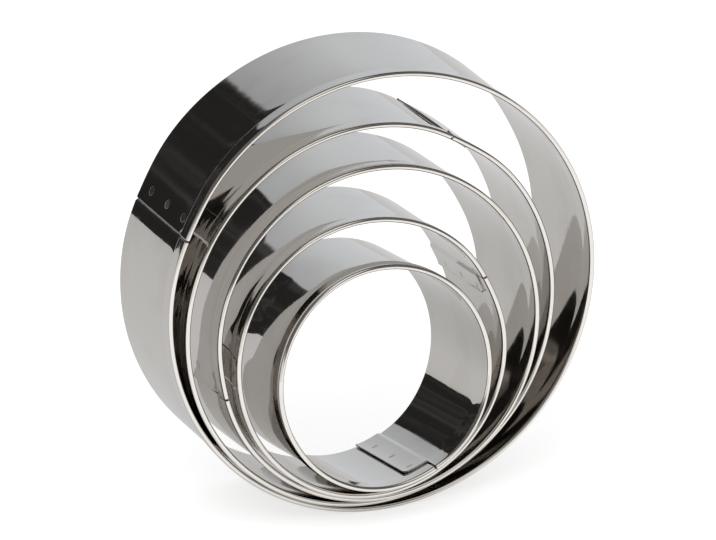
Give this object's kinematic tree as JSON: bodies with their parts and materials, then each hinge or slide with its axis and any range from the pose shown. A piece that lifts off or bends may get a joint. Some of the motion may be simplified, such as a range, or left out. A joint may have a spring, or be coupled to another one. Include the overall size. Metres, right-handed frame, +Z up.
{
  "type": "nested biscuit cutter set",
  "caption": "Nested set of plain round steel biscuit cutters standing on edge, each a thin band with a folded rim, a thin cutting edge and a spot-welded lap seam.",
  "frame": {"origin": "on the floor under the middle of the set's bounding box, where the largest cutter stands on its rim and its thin edge", "axes": "+Z up, -Y the way the folded rims face, +Y the way the cutting edges face, X along the line the set could roll"},
  "size_m": [0.08, 0.0336, 0.08],
  "materials": {
    "polished_steel": "bright mirror-polished stainless sheet with faint rolling waves and fine scratches",
    "weld_steel": "dull pressed spot-weld mark"
  },
  "bodies": {
    "cutter_80": {"cutter_80_band": "polished_steel", "cutter_80_spot_welds": "weld_steel"},
    "cutter_70": {"cutter_70_band": "polished_steel", "cutter_70_spot_welds": "weld_steel"},
    "cutter_60": {"cutter_60_band": "polished_steel", "cutter_60_spot_welds": "weld_steel"},
    "cutter_50": {"cutter_50_band": "polished_steel", "cutter_50_spot_welds": "weld_steel"},
    "cutter_40": {"cutter_40_band": "polished_steel", "cutter_40_spot_welds": "weld_steel"}
  },
  "joints": [
    {"name": "cutter_70_slide", "type": "slide", "parent": "cutter_80", "child": "cutter_70", "axis": [0, 0.9996, -0.029], "range_m": [-0.03, 0.03]},
    {"name": "cutter_60_slide", "type": "slide", "parent": "cutter_70", "child": "cutter_60", "axis": [-0.0157, 0.9985, -0.0533], "range_m": [-0.03, 0.03]},
    {"name": "cutter_50_slide", "type": "slide", "parent": "cutter_60", "child": "cutter_50", "axis": [-0.0074, 0.9967, -0.081], "range_m": [-0.03, 0.03]},
    {"name": "cutter_40_slide", "type": "slide", "parent": "cutter_50", "child": "cutter_40", "axis": [0.014, 0.9943, -0.1055], "range_m": [-0.03, 0.03]}
  ]
}
